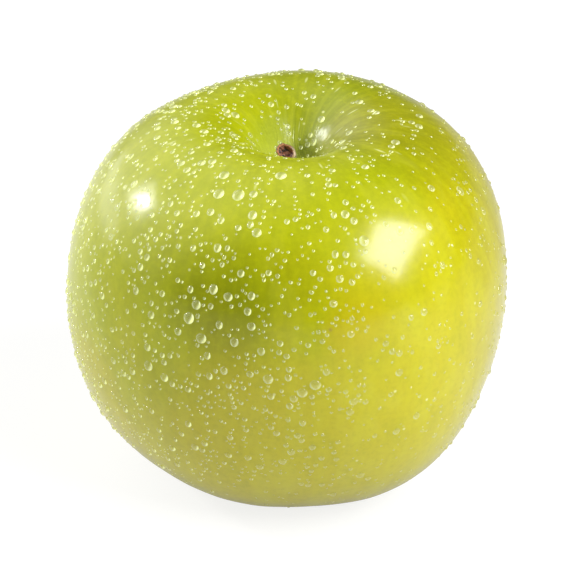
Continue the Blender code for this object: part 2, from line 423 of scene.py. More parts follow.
def skin_material(settings):
    """Waxy green skin: deep green round the stem, straw yellow low down, with pale spots and dashes."""
    material, r, shader = new_material("waxy_skin")
    place = r.add("ShaderNodeTexCoord").outputs["Object"]
    from_axis = r.add("ShaderNodeVectorMath", {0: place, 1: tuple(-AXIS)}, operation="ADD").outputs[0]
    x, y, z = r.add("ShaderNodeSeparateXYZ", {0: from_axis}).outputs[:]
    way = r.add("ShaderNodeAttribute", attribute_name="way").outputs["Fac"]
    outward = r.add("ShaderNodeCombineXYZ", {0: x, 1: y}).outputs[0]
    outward = r.add("ShaderNodeVectorMath", {0: outward}, operation="NORMALIZE").outputs[0]
    ox, oy, _ = r.add("ShaderNodeSeparateXYZ", {0: outward}).outputs[:]

    def flow(radius, squash):
        """Coordinates that follow the skin from basin to cavity, drawn out along that way."""
        scaled = [r.maths("MULTIPLY", value, by) for value, by in ((ox, radius), (oy, radius), (way, squash))]
        return r.add("ShaderNodeCombineXYZ", dict(enumerate(scaled))).outputs[0]

    mottle = r.cloud(place, 0.016, detail=2.0)
    grain = r.cloud(flow(0.03, 0.02), 0.0012, detail=2.0)
    lift = r.maths("MULTIPLY_ADD", z, 1.0 / 0.028, -0.052 / 0.028)
    lift = r.maths("MULTIPLY_ADD", x, -1.0 / 0.056, lift)
    lift = r.maths("MULTIPLY_ADD", r.maths("SUBTRACT", mottle, 0.5), 1.6, lift)
    lift = r.maths("MULTIPLY_ADD", r.maths("SUBTRACT", grain, 0.5), 0.15, lift)
    green = r.spread(lift, -0.35, 0.55)
    crown = r.spread(way, 0.735, 0.80)
    green = r.maths("MAXIMUM", green, crown)
    sunny = r.spread(lift, -0.85, 0.15, 1.0, 0.0)
    colour = r.blend(green, settings.meadow, settings.leaf)
    colour = r.blend(r.maths("MULTIPLY", sunny, 0.9), colour, settings.straw)

    # Painted shade: a deeper green cloud on the front-left, standing for the shade between the softbox's
    # light and the side lamp's.
    painted_shade_centre, _ = skin_place(math.radians(252.0), 82.5)
    far = r.add("ShaderNodeVectorMath", {0: place, 1: tuple(-painted_shade_centre)}, operation="ADD").outputs[0]
    far = r.add("ShaderNodeVectorMath", {0: far, 1: (0.75, 0.75, 1.1)}, operation="MULTIPLY").outputs[0]
    far = r.add("ShaderNodeVectorMath", {0: far}, operation="LENGTH").outputs["Value"]
    far = r.maths("MULTIPLY_ADD", r.maths("SUBTRACT", mottle, 0.5), 0.012, far)
    shade = r.spread(far, 0.001, 0.016, 0.8, 0.0)
    colour = r.blend(r.maths("MULTIPLY", shade, 0.8), colour, settings.shade)

    # The crown is a deeper green, most of all at the right and behind.
    behind = r.spread(r.maths("ADD", ox, r.maths("MULTIPLY", oy, 0.6)), -0.3, 1.1)
    deep = r.maths("MULTIPLY", r.spread(way, 0.70, 0.82), r.maths("MULTIPLY_ADD", behind, 0.6, 0.35))
    deep = r.maths("MULTIPLY", deep, r.spread(mottle, 0.3, 0.7, 1.15, 0.75))
    colour = r.blend(deep, colour, settings.crown)

    # Painted shade: the skin is darkened a little towards the sunny side's edge and towards the foot.
    rim = r.maths("MULTIPLY", r.spread(ox, 0.6, 1.0), r.spread(way, 0.2, 0.4))
    rim = r.maths("MAXIMUM", rim, r.spread(way, 0.2, 0.34, 1.0, 0.0))
    colour = r.blend(r.maths("MULTIPLY", rim, 0.42), colour, (0.3, 0.255, 0.0))

    # Soft patches a few millimetres across, paler and deeper.
    patch = r.cloud(flow(0.03, 0.06), 0.0045, detail=2.0)
    colour = r.blend(r.spread(patch, 0.5, 0.66, 0.0, 0.13), colour, (0.6, 0.6, 0.06))
    colour = r.blend(r.spread(patch, 0.48, 0.34, 0.0, 0.13), colour, (0.27, 0.29, 0.0))

    # Fine mottling along the flow of growth, and a softer one that runs every way.
    fleck = r.cloud(place, 0.0011, detail=3.0, roughness=0.65)
    colour = r.blend(r.spread(fleck, 0.48, 0.68, 0.0, 0.12), colour, (0.66, 0.66, 0.0))
    colour = r.blend(r.spread(fleck, 0.5, 0.34, 0.0, 0.14), colour, (0.24, 0.27, 0.0))
    streak = r.spread(r.cloud(flow(0.035, 0.012), 0.0022, detail=3.0), 0.42, 0.62)
    colour = r.blend(r.maths("MULTIPLY", streak, 0.1), colour, (0.62, 0.64, 0.0))

    # Pale breathing spots all over, each with its own size.
    gap, chance = r.dots(place, 0.0042)
    chance = r.add("ShaderNodeSeparateColor", {0: chance}).outputs["Red"]
    spot = r.maths("SUBTRACT", 1.0, r.spread(gap, 0.03, 0.09))
    spot = r.maths("MULTIPLY", spot, r.spread(chance, 0.25, 0.6))
    colour = r.blend(r.maths("MULTIPLY", spot, 0.7), colour, (0.78, 0.8, 0.36))

    # Pale dashes that run into the cavity.
    gap, chance = r.dots(flow(0.028, 0.045), 0.0026)
    chance = r.add("ShaderNodeSeparateColor", {0: chance}).outputs["Green"]
    dash = r.maths("SUBTRACT", 1.0, r.spread(gap, 0.05, 0.2))
    dash = r.maths("MULTIPLY", dash, r.spread(chance, 0.3, 0.7))
    dash = r.maths("MULTIPLY", dash, r.spread(way, 0.73, 0.80))
    dash = r.maths("MULTIPLY", dash, r.spread(way, 0.91, 0.96, 1.0, 0.0))
    colour = r.blend(r.maths("MULTIPLY", dash, 0.6), colour, (0.74, 0.78, 0.3))

    # The cavity's wall is dull and greyish, and brown scurf rings the stem.
    hollow = r.spread(way, 0.885, 0.955)
    furrow = r.cloud(flow(0.02, 0.01), 0.0011, detail=3.0)
    colour = r.blend(r.maths("MULTIPLY", hollow, 0.3), colour, (0.42, 0.5, 0.12))
    scurf = r.maths("MULTIPLY", r.spread(way, 0.955, 0.99), r.spread(furrow, 0.35, 0.6))
    colour = r.blend(scurf, colour, (0.24, 0.19, 0.07))

    # Painted shade on two sides of the cavity's wall: deeper green for the stem's shadow at its right and on
    # the wall at the left, broken up by fine pits.
    pits = r.spread(r.cloud(place, 0.0004, detail=2.0), 0.36, 0.5)
    broken = r.spread(pits, 0.0, 1.0, 0.45, 1.0)
    for angle, distance, size, share, tint in (
        (128.0, 121.5, 0.0045, 0.5, (0.25, 0.3, 0.0)),
        (66.0, 126.0, 0.0024, 0.6, (0.12, 0.16, 0.0)),
    ):
        centre, _ = skin_place(math.radians(angle), distance)
        far = r.distance(place, centre)
        near = r.maths("MULTIPLY", r.spread(far, size * 0.1, size, 1.0, 0.0), broken)
        colour = r.blend(r.maths("MULTIPLY", near, share), colour, tint)

    # The basin below is greyer, with brown round the calyx.
    sole = r.spread(way, 0.03, 0.115, 1.0, 0.0)
    colour = r.blend(r.maths("MULTIPLY", sole, 0.5), colour, (0.3, 0.33, 0.08))
    rust = r.maths("MULTIPLY", r.spread(way, 0.005, 0.04, 1.0, 0.0), r.spread(furrow, 0.35, 0.6))
    colour = r.blend(rust, colour, (0.2, 0.14, 0.06))

    # One small brown peck with a faint tan patch beside it.
    for angle, distance, size, share, tint in (
        (280.0, 79.0, 0.00055, 0.6, (0.3, 0.2, 0.05)),
        (286.0, 78.5, 0.0085, 0.36, (0.5, 0.39, 0.0)),
    ):
        centre, _ = skin_place(math.radians(angle), distance)
        far = r.distance(place, centre)
        far = r.maths("MULTIPLY_ADD", r.maths("SUBTRACT", mottle, 0.5), size, far)
        near = r.spread(far, size * 0.2, size, 1.0, 0.0)
        colour = r.blend(r.maths("MULTIPLY", near, share), colour, tint)

    pores = r.cloud(place, 0.0007, detail=2.0)
    normal = r.bump(pores, 0.000012)
    wall = r.maths("MULTIPLY", r.maths("MAXIMUM", hollow, sole), furrow)
    normal = r.bump(wall, 0.0002, normal=normal)
    left_wall = r.maths("MULTIPLY", r.spread(way, 0.86, 0.905), r.spread(ox, -0.35, 0.2, 1.0, 0.0))
    dull = r.maths("MAXIMUM", left_wall, sole)
    r.fill(shader.inputs["Base Color"], colour)
    r.fill(shader.inputs["Roughness"], r.maths("MULTIPLY_ADD", dull, 0.1, 0.5))
    pitted = r.maths("MULTIPLY", hollow, r.maths("SUBTRACT", 1.0, pits))
    shiny = r.maths("MULTIPLY_ADD", dull, -0.88, 0.9)
    smooth = r.maths("MULTIPLY_ADD", pitted, -0.7, 1.0)
    r.fill(shader.inputs["Coat Weight"], r.maths("MULTIPLY", shiny, smooth))
    r.fill(shader.inputs["Coat Roughness"], settings.gloss)
    r.fill(shader.inputs["Coat IOR"], 1.5)
    r.fill(shader.inputs["Specular IOR Level"], 0.06)
    r.fill(shader.inputs["Subsurface Weight"], 0.1)
    r.fill(shader.inputs["Subsurface Radius"], (1.0, 0.9, 0.2))
    r.fill(shader.inputs["Subsurface Scale"], 0.002)
    r.fill(shader.inputs["Normal"], normal)
    r.fill(shader.inputs["Coat Normal"], normal)
    return material


def bark_material(settings):
    """Brown bark with pale scales on the side, and a cracked scar with an orange rim at the end."""
    material, r, shader = new_material("stem_bark_and_scar")
    place = r.add("ShaderNodeTexCoord").outputs["Object"]
    scar = r.add("ShaderNodeAttribute", attribute_name="scar").outputs["Fac"]
    height = r.add("ShaderNodeSeparateXYZ", {0: place}).outputs["Z"]
    scales = r.cloud(place, 0.0007, detail=4.0)
    pale = r.spread(scales, 0.45, 0.62)
    colour = r.blend(pale, settings.bark, (0.3, 0.24, 0.13))
    mossy = r.spread(height, HEIGHT * MM - 0.006, HEIGHT * MM - 0.001, 1.0, 0.0)
    colour = r.blend(r.maths("MULTIPLY", mossy, 0.55), colour, (0.26, 0.28, 0.08))
    cracks = r.cloud(place, 0.00055, detail=3.0, roughness=0.6)
    dark = r.blend(r.spread(cracks, 0.42, 0.53), (0.008, 0.003, 0.002), (0.2, 0.062, 0.026))
    rim = r.maths("MULTIPLY", r.spread(scar, 0.04, 0.12), r.spread(scar, 0.16, 0.34, 1.0, 0.0))
    dark = r.blend(r.maths("MULTIPLY", rim, r.spread(cracks, 0.36, 0.52)), dark, settings.wood)
    sideways = r.add("ShaderNodeSeparateXYZ", {0: place}).outputs["X"]
    edge = float(AXIS[0]) + STEM_LINE[-1][0] * MM
    dry = r.maths("MULTIPLY", rim, r.spread(sideways, edge + 0.0006, edge + 0.0015))
    dark = r.blend(r.maths("MULTIPLY", dry, 0.8), dark, (0.55, 0.46, 0.3))
    colour = r.blend(r.spread(scar, 0.02, 0.12), colour, dark)
    r.fill(shader.inputs["Base Color"], colour)
    r.fill(shader.inputs["Roughness"], r.maths("MULTIPLY_ADD", scales, 0.3, 0.45))
    r.fill(shader.inputs["Normal"], r.bump(cracks, 0.00015))
    return material


def husk_material(settings):
    """Dry brown husk with paler, worn veins."""
    material, r, shader = new_material("dried_husk")
    place = r.add("ShaderNodeTexCoord").outputs["Object"]
    flecks = r.cloud(place, 0.0005, detail=4.0)
    blotch = r.cloud(place, 0.0017, detail=2.0)
    colour = r.blend(r.spread(flecks, 0.42, 0.62), settings.husk, (0.32, 0.23, 0.12))
    colour = r.blend(r.maths("MULTIPLY", r.spread(blotch, 0.5, 0.65), 0.5), colour, (0.05, 0.03, 0.018))
    r.fill(shader.inputs["Base Color"], colour)
    r.fill(shader.inputs["Roughness"], r.maths("MULTIPLY_ADD", flecks, 0.25, 0.65))
    r.fill(shader.inputs["Sheen Weight"], 0.35)
    r.fill(shader.inputs["Normal"], r.bump(flecks, 0.0001))
    return material


def water_material():
    """Clear water that lets the lamps' light through to the skin.

    The bright crescent away from a lamp is painted light, laid there by the lamp's direction: it is paler and
    glows a little.
    """
    material, r, shader = new_material("clear_water")
    skin_up = r.add("ShaderNodeAttribute", attribute_name="skin_normal").outputs["Vector"]
    normal = r.add("ShaderNodeNewGeometry").outputs["Normal"]
    tilt = r.add("ShaderNodeVectorMath", {0: skin_up, 1: normal}, operation="SUBTRACT").outputs[0]
    crescents = []
    for towards, share in ((way_to(*SIDE_LAMP_WAY), 1.0), (way_to(*SOFTBOX_WAY), 0.55)):
        facing = r.along(skin_up, towards)
        away = r.along(tilt, towards)
        crescent = r.maths("MULTIPLY", r.spread(away, 0.12, 0.62), r.spread(facing, -0.8, 0.3))
        crescents.append(r.maths("MULTIPLY", crescent, share))
    place = r.add("ShaderNodeTexCoord").outputs["Object"]
    uneven = r.spread(r.cloud(place, 0.0015), 0.35, 0.6, 0.45, 1.0)
    # Painted light: how much each bead is lit in its crescent, from the lamps' fixed directions.
    painted_crescent_light = r.maths("MULTIPLY", r.maths("MAXIMUM", *crescents), uneven)
    r.fill(shader.inputs["Base Color"], r.blend(painted_crescent_light, (0.98, 1.0, 0.72), (0.95, 1.0, 0.4)))
    r.fill(shader.inputs["Roughness"], 0.05)
    r.fill(shader.inputs["IOR"], 1.16)
    r.fill(shader.inputs["Coat Weight"], 1.0)
    r.fill(shader.inputs["Coat Roughness"], 0.06)
    r.fill(shader.inputs["Coat IOR"], 1.42)
    halved = {0: tilt, 1: (0.5, 0.5, 0.5), 2: normal}
    eased = r.add("ShaderNodeVectorMath", halved, operation="MULTIPLY_ADD").outputs[0]
    eased = r.add("ShaderNodeVectorMath", {0: eased}, operation="NORMALIZE").outputs[0]
    r.fill(shader.inputs["Normal"], eased)
    # Painted light: a faint glow where the crescents lie, and a paler base colour above.
    r.fill(shader.inputs["Emission Color"], r.blend(painted_crescent_light, (0.0, 0.0, 0.0), (0.92, 1.0, 0.5)))
    r.fill(shader.inputs["Emission Strength"], 0.42)
    r.fill(shader.inputs["Transmission Weight"], r.maths("MULTIPLY_ADD", painted_crescent_light, -0.6, 0.9))
    rays = r.add("ShaderNodeLightPath").outputs
    clear = r.add("ShaderNodeBsdfTransparent", {"Color": (0.8, 0.8, 0.8, 1.0)}).outputs[0]
    open_air = r.add("ShaderNodeBsdfTransparent").outputs[0]
    bare = {0: rays["Is Diffuse Ray"], 1: shader.outputs[0], 2: open_air}
    seen = r.add("ShaderNodeMixShader", bare).outputs[0]
    both = r.add("ShaderNodeMixShader", {0: rays["Is Shadow Ray"], 1: seen, 2: clear}).outputs[0]
    r.fill(material.node_tree.nodes["Material Output"].inputs["Surface"], both)
    return material


def table_material(settings):
    """A white table that glows softly.

    The camera sees an even glow that fades far off. The rest of the scene is lit by another, which is dimmer
    round the fruit's foot as a painted shadow of the fruit, and behind at the right and in front at the left.
    """
    material, r, shader = new_material("white_table")
    place = r.add("ShaderNodeTexCoord").outputs["Object"]
    far = r.distance(place, (0.0, 0.33, 0.0))
    seen = r.spread(far, 0.5, 0.85, settings.table, settings.table * 0.35)
    near = r.distance(place, AXIS)
    x, y, _ = r.add("ShaderNodeSeparateXYZ", {0: place}).outputs[:]
    corner = r.maths("ADD", x, y)
    # Painted shadow: the glow that the fruit feels is dimmer round its foot.
    felt = r.maths("MULTIPLY", r.spread(near, 0.015, 0.05, 0.4, 1.0), settings.table * 0.87)
    felt = r.maths("MULTIPLY", felt, r.spread(corner, 0.08, 0.26, 1.0, 0.3))
    felt = r.maths("MULTIPLY", felt, r.spread(corner, -0.2, -0.08, 0.6, 1.0))
    camera_ray = r.add("ShaderNodeLightPath").outputs["Is Camera Ray"]
    glow = r.add("ShaderNodeMix", {0: camera_ray, 2: felt, 3: seen}, data_type="FLOAT").outputs[0]
    r.fill(shader.inputs["Base Color"], (0.22, 0.22, 0.22, 1.0))
    r.fill(shader.inputs["Roughness"], 0.9)
    r.fill(shader.inputs["Specular IOR Level"], 0.0)
    r.fill(shader.inputs["Emission Color"], (1.0, 1.0, 1.0, 1.0))
    r.fill(shader.inputs["Emission Strength"], glow)
    return material


def make_object(name, mesh, material):
    """An object that holds the mesh, smooth, with its faces outwards."""
    mesh.materials.clear()
    mesh.materials.append(material)
    mesh.shade_smooth()
    obj = bpy.data.objects.new(name, mesh)
    bpy.context.scene.collection.objects.link(obj)
    return obj


def mesh_of_rings(name, rings, start=None, end=None, point_values=None):
    """A closed mesh from rings of points, each end closed by a point or, with none, by one face.

    point_values gives named numbers for the mesh's points, as one list each.
    """
    count = len(rings[0])
    points = [Vector(p) for ring in rings for p in ring]
    faces = []
    for i in range(len(rings) - 1):
        for j in range(count):
            a, b = i * count + j, i * count + (j + 1) % count
            faces.append((a, b, b + count, a + count))
    last = (len(rings) - 1) * count
    for tip, base, turned in ((start, 0, True), (end, last, False)):
        ring = list(range(base, base + count))
        if tip is None:
            faces.append(ring[::-1] if turned else ring)
            continue
        points.append(Vector(tip))
        for j in range(count):
            a, b = ring[j], ring[(j + 1) % count]
            faces.append((b, a, len(points) - 1) if turned else (a, b, len(points) - 1))
    mesh = bpy.data.meshes.new(name)
    mesh.from_pydata(points, [], faces)
    for value_name, values in (point_values or {}).items():
        mesh.attributes.new(value_name, "FLOAT", "POINT").data.foreach_set("value", values)
    shape = bmesh.new()
    shape.from_mesh(mesh)
    bmesh.ops.recalc_face_normals(shape, faces=shape.faces)
    shape.to_mesh(mesh)
    shape.free()
    return mesh


def make_fruit(settings, material):
    """The fruit, finer than its CAD solid, with the slight swells of a grown skin."""
    ways = []
    for start, stop in zip(PROFILE_KNOTS, PROFILE_KNOTS[1:]):
        ways += [start + (stop - start) * i / settings.rings for i in range(settings.rings)]
    ways = ways[1:]
    angles = np.linspace(0.0, 2.0 * math.pi, settings.segments, endpoint=False)
    rings = [fruit_point(way, angles) * MM + AXIS for way in ways]
    tips = [fruit_point(way, np.array(0.0)) * MM + AXIS for way in (0.0, PROFILE_LENGTH)]
    shares = [way / PROFILE_LENGTH for way in ways for _ in angles] + [0.0, 1.0]
    mesh = mesh_of_rings("fruit_with_skin", rings, *tips, point_values={"way": shares})
    places = np.empty(len(mesh.vertices) * 3)
    mesh.vertices.foreach_get("co", places)
    places = places.reshape(-1, 3)
    normals = np.array([vertex.normal for vertex in mesh.vertices])
    swell = np.array([noise.noise(Vector(p) * 90.0) + 0.5 * noise.noise(Vector(p) * 240.0) for p in places])
    clear_of_table = smooth_step(places[:, 2] / (1.5 * MM))
    places += normals * (swell * settings.swell * clear_of_table)[:, None]
    mesh.vertices.foreach_set("co", places.ravel())
    mesh.update()
    return make_object("fruit_with_skin", mesh, material)


def ring_across(centre, direction, half_widths, tilt, segments):
    """An oval of points about a centre, square to a direction that isn't level with X."""
    forward = direction / np.linalg.norm(direction)
    side = np.cross(forward, (1.0, 0.0, 0.0))
    side /= np.linalg.norm(side)
    up = np.cross(forward, side)
    long_side = math.cos(tilt) * side + math.sin(tilt) * up
    short_side = np.cross(forward, long_side)
    turns = 2.0 * math.pi * np.arange(segments) / segments
    long_way = half_widths[0] * np.cos(turns)[:, None] * long_side
    return centre + long_way + half_widths[1] * np.sin(turns)[:, None] * short_side


def make_stem(material):
    """The bent stem: ridged bark, a swollen end, and a sunken scar with a raised, broken rim."""
    segments, side_rings, scar_rings = 72, 56, 12
    ridge_depth, rim_height, scar_depth = 0.05, 0.16, 0.45
    curve, knots = smooth_curve([(*point, radius) for point, radius in zip(STEM_LINE, STEM_RADII)])
    rows = np.array([curve(length) for length in np.linspace(0.0, knots[-1], side_rings)])
    directions = np.gradient(rows[:, :3], axis=0)
    tilt = math.radians(STEM_OVAL_TILT)
    turns = 2.0 * math.pi * np.arange(segments) / segments
    rings, scar = [], []
    for i, (row, direction) in enumerate(zip(rows, directions)):
        ovalness = smooth_step((i / (side_rings - 1) - 0.45) / 0.5) * STEM_OVALNESS
        widths = row[3] * (1.0 + 0.1 * ovalness), row[3] * (1.0 - ovalness)
        ring = ring_across(row[:3], direction, widths, tilt, segments)
        spots = [Vector((math.cos(t) * 3.0, math.sin(t) * 3.0, i * 0.06)) for t in turns]
        lumps = np.array([noise.noise(spot) for spot in spots])
        ring += (ring - row[:3]) * (lumps * ridge_depth * 2.0)[:, None]
        rings.append(ring)
        scar += [0.0] * segments
    end, forward = rows[-1, :3], directions[-1] / np.linalg.norm(directions[-1])
    edge = rings[-1] - end
    for i in range(1, scar_rings):
        share = i / scar_rings
        rim = rim_height * math.sin(math.pi * min(share / 0.35, 1.0))
        bowl = scar_depth * float(smooth_step((share - 0.22) / 0.5))
        flat = end + edge * (1.0 - share)
        rough = np.array([noise.noise(Vector(p) * 2.3) for p in flat]) * 0.28 * min(share / 0.2, 1.0)
        rings.append(flat + forward * (rim - bowl + rough)[:, None])
        scar += [share] * segments
    middle = end - forward * scar_depth
    rings = [ring * MM + AXIS for ring in rings]
    scar += [0.0, 1.0]
    tips = [rows[0, :3] * MM + AXIS, middle * MM + AXIS]
    mesh = mesh_of_rings("stem_with_scar", rings, *tips, point_values={"scar": scar})
    return make_object("stem_with_scar", mesh, material)


def make_sepal(number, material):
    """One dried sepal, crumpled, with curled edges and a torn tip."""
    rows_count, across, thickness = 40, 14, 0.32
    curve, knots = smooth_curve([(r, z, w) for (r, z), w in zip(SEPAL_LINE, SEPAL_HALF_WIDTHS)])
    rows = np.array([curve(length) for length in np.linspace(0.0, knots[-1], rows_count)])
    slopes = np.gradient(rows[:, :2], axis=0)
    turn = 2.0 * math.pi * (number - 0.5) / 5.0
    rings = []
    for i, ((radius, height, half_width), slope) in enumerate(zip(rows, slopes)):
        outward = np.array([-slope[1], slope[0]]) / np.linalg.norm(slope)
        ring = []
        for side in [*np.linspace(-1.0, 1.0, across), *np.linspace(1.0, -1.0, across)]:
            face = -1.0 if len(ring) < across else 1.0
            crumple = noise.noise(Vector((side * 1.6 + number * 7.0, i * 0.13, number * 3.0)))
            lift = face * thickness / 2.0 * (1.0 - 0.6 * side**4)
            lift += 0.25 * half_width * side * side + crumple * 0.22
            spot = np.array([radius, height]) + outward * lift
            ragged = noise.noise(Vector((i * 0.4, number * 5.0, side * 2.0)))
            width = side * half_width * (1.0 + 0.12 * ragged)
            ring.append(
                (
                    spot[0] * math.cos(turn) - width * math.sin(turn),
                    spot[0] * math.sin(turn) + width * math.cos(turn),
                    spot[1],
                )
            )
        rings.append(np.array(ring) * MM + AXIS)
    mesh = mesh_of_rings(f"dried_sepal_{number}", rings)
    return make_object(f"dried_sepal_{number}", mesh, material)


def bead_shape(segments, levels, contact_angle=54.0, sag=0.1):
    """A water bead one unit across that sits on Z = 0, as an object for the scatter.

    It reaches a little below, so that its foot is inside the skin, and sags towards +Y.
    """
    contact = math.radians(contact_angle)
    ball = 0.5 / math.sin(contact)
    rings = [[(0.5 * math.cos(t), 0.5 * math.sin(t), -0.05) for t in turns_of(segments)]]
    for i in range(levels):
        polar = contact * (1.0 - i / levels)
        radius, height = ball * math.sin(polar), ball * (math.cos(polar) - math.cos(contact))
        lean = sag * math.sin(math.pi * height)
        rings.append(
            [(radius * math.cos(t), radius * math.sin(t) + lean, height) for t in turns_of(segments)]
        )
    top = ball * (1.0 - math.cos(contact))
    mesh = mesh_of_rings("bead_shape", rings, end=(0.0, sag * math.sin(math.pi * top), top))
    mesh.shade_smooth()
    return bpy.data.objects.new("bead_shape", mesh)


def turns_of(segments):
    return [2.0 * math.pi * i / segments for i in range(segments)]


def plain_mesh_of(obj):
    """The object's evaluated mesh, on its own."""
    graph = bpy.context.evaluated_depsgraph_get()
    return bpy.data.meshes.new_from_object(obj.evaluated_get(graph), depsgraph=graph)


def big_bead_places(chance):
    """Each big bead's angle, way along the profile and diameter, clear of the others where there is room."""
    places = []
    points = []
    for angle, way, angle_reach, way_reach, count, least, most in BEAD_GROUPS:
        for _ in range(count):
            for _ in range(BEAD_TRIES):
                turn = chance.uniform(angle - angle_reach, angle + angle_reach)
                along = chance.uniform(way - way_reach, way + way_reach)
                diameter = chance.uniform(least, most)
                point, _ = skin_place(math.radians(turn), along)
                if all((point - other).length > BEAD_CLEARANCE * MM for other in points):
                    break
            places.append((turn, along, diameter))
            points.append(point)
    return places


def make_big_beads(material):
    """The biggest beads, in the places that big_bead_places gives."""
    chance = random.Random(BIG_BEAD_SEED)
    places = big_bead_places(chance)
    bead = bead_shape(16, 5)
    mesh = bmesh.new()
    skin_normals = []
    for angle, way, diameter in places:
        point, normal = skin_place(math.radians(angle), way)
        downhill = (Vector((0.0, 0.0, -1.0)) - normal * -normal.z).normalized()
        across = downhill.cross(normal)
        size = diameter * MM
        turned = Matrix((across, downhill, normal)).transposed()
        width, length = chance.uniform(0.92, 1.05), chance.uniform(0.95, 1.1)
        stretch = Matrix.Diagonal((size * width, size * length, size * 0.9))
        bead.data.transform((turned @ stretch).to_4x4())
        bead.data.transform(Matrix.Translation(point))
        mesh.from_mesh(bead.data)
        skin_normals += [*normal] * len(bead.data.vertices)
        bead.data.transform(Matrix.Translation(-point))
        bead.data.transform((turned @ stretch).inverted().to_4x4())
    made = bpy.data.meshes.new("big_beads")
    mesh.to_mesh(made)
    mesh.free()
    made.attributes.new("skin_normal", "FLOAT_VECTOR", "POINT").data.foreach_set("vector", skin_normals)
    bpy.data.objects.remove(bead)
    return make_object("big_beads", made, material)


def scatter_tree():
    """Geometry nodes that strew a bead over the skin, clear of larger ones, fewer at the right and below."""
    tree = bpy.data.node_groups.new("strew_beads", "GeometryNodeTree")
    tree.interface.new_socket("Skin", in_out="INPUT", socket_type="NodeSocketGeometry")
    for name, kind in (
        ("Bead", "NodeSocketObject"),
        ("Larger beads", "NodeSocketObject"),
        ("Beads per square metre", "NodeSocketFloat"),
        ("Least spacing", "NodeSocketFloat"),
        ("Smallest", "NodeSocketFloat"),
        ("Largest", "NodeSocketFloat"),
        ("Seed", "NodeSocketInt"),
        ("Water", "NodeSocketMaterial"),
    ):
        tree.interface.new_socket(name, in_out="INPUT", socket_type=kind)
    tree.interface.new_socket("Beads", in_out="OUTPUT", socket_type="NodeSocketGeometry")
    r = Recipe(tree)
    given = r.add("NodeGroupInput").outputs
    x, _, z = r.add("ShaderNodeSeparateXYZ", {0: r.add("GeometryNodeInputPosition").outputs[0]}).outputs[:]
    patchy = r.cloud(None, 0.011, detail=1.0)
    share = r.spread(x, -0.012, 0.03, 1.0, 0.36)
    share = r.maths("MULTIPLY", share, r.spread(z, 0.003, 0.02, 0.0, 1.0))
    share = r.maths("MULTIPLY", share, r.spread(patchy, 0.35, 0.6, 0.5, 1.0))
    points = r.add(
        "GeometryNodeDistributePointsOnFaces",
        {
            "Mesh": given["Skin"],
            "Distance Min": given["Least spacing"],
            "Density Max": given["Beads per square metre"],
            "Density Factor": share,
            "Seed": given["Seed"],
        },
        distribute_method="POISSON",
    )
    chance = r.add("FunctionNodeRandomValue", {"Seed": given["Seed"]}, data_type="FLOAT").outputs[1]
    span = r.maths("SUBTRACT", given["Largest"], given["Smallest"])
    size = r.maths("MULTIPLY_ADD", r.maths("POWER", chance, 1.8), span, given["Smallest"])
    larger = r.add("GeometryNodeObjectInfo", {"Object": given["Larger beads"]}).outputs["Geometry"]
    gap = r.add("GeometryNodeProximity", {0: larger}, target_element="FACES").outputs["Distance"]
    touching = r.add(
        "FunctionNodeCompare",
        {0: gap, 1: r.maths("MULTIPLY", size, 0.55)},
        data_type="FLOAT",
        operation="LESS_THAN",
    ).outputs[0]
    kept = r.add("GeometryNodeDeleteGeometry", {"Geometry": points.outputs["Points"], "Selection": touching})
    turned = r.add(
        "FunctionNodeAlignRotationToVector",
        {"Rotation": points.outputs["Rotation"], "Vector": (0.0, 0.0, -1.0)},
        axis="Y",
        pivot_axis="Z",
    ).outputs[0]
    reach = {0: (0.88, 0.92, 0.75), 1: (1.04, 1.14, 1.05), "Seed": WOBBLE_SEED}
    wobble = r.add("FunctionNodeRandomValue", reach, data_type="FLOAT_VECTOR").outputs[0]
    scale = r.add("ShaderNodeVectorMath", {0: wobble, 3: size}, operation="SCALE").outputs[0]
    bead = r.add("GeometryNodeObjectInfo", {"Object": given["Bead"]}, transform_space="ORIGINAL")
    marked = r.add(
        "GeometryNodeStoreNamedAttribute",
        {"Geometry": kept.outputs[0], "Name": "skin_normal", "Value": points.outputs["Normal"]},
        data_type="FLOAT_VECTOR",
        domain="POINT",
    ).outputs[0]
    strewn = r.add(
        "GeometryNodeInstanceOnPoints",
        {"Points": marked, "Instance": bead.outputs["Geometry"], "Rotation": turned, "Scale": scale},
    ).outputs[0]
    real = r.add("GeometryNodeRealizeInstances", {0: strewn}).outputs[0]
    wet = r.add("GeometryNodeSetMaterial", {"Geometry": real, "Material": given["Water"]}).outputs[0]
    r.add("NodeGroupOutput", {0: wet})
    return tree


def strew_beads(name, fruit, bead, larger, settings, material):
    """A piece of beads over the fruit, made with the scatter tree and these inputs."""
    tree = bpy.data.node_groups.get("strew_beads") or scatter_tree()
    carrier = bpy.data.objects.new(name, fruit.data.copy())
    bpy.context.scene.collection.objects.link(carrier)
    modifier = carrier.modifiers.new("beads", "NODES")
    modifier.node_group = tree
    values = {"Bead": bead, "Larger beads": larger, "Water": material, **settings}
    for item in tree.interface.items_tree:
        if item.in_out == "INPUT" and item.name in values:
            modifier[item.identifier] = values[item.name]
    mesh = plain_mesh_of(carrier)
    bpy.data.objects.remove(carrier)
    bpy.data.objects.remove(bead)
    return make_object(name, mesh, material)


def joined_copy(name, objects):
    """One object with all their meshes, for a test of what is near them."""
    shape = bmesh.new()
    for obj in objects:
        shape.from_mesh(obj.data)
    mesh = bpy.data.meshes.new(name)
    shape.to_mesh(mesh)
    shape.free()
    obj = bpy.data.objects.new(name, mesh)
    bpy.context.scene.collection.objects.link(obj)
    return obj


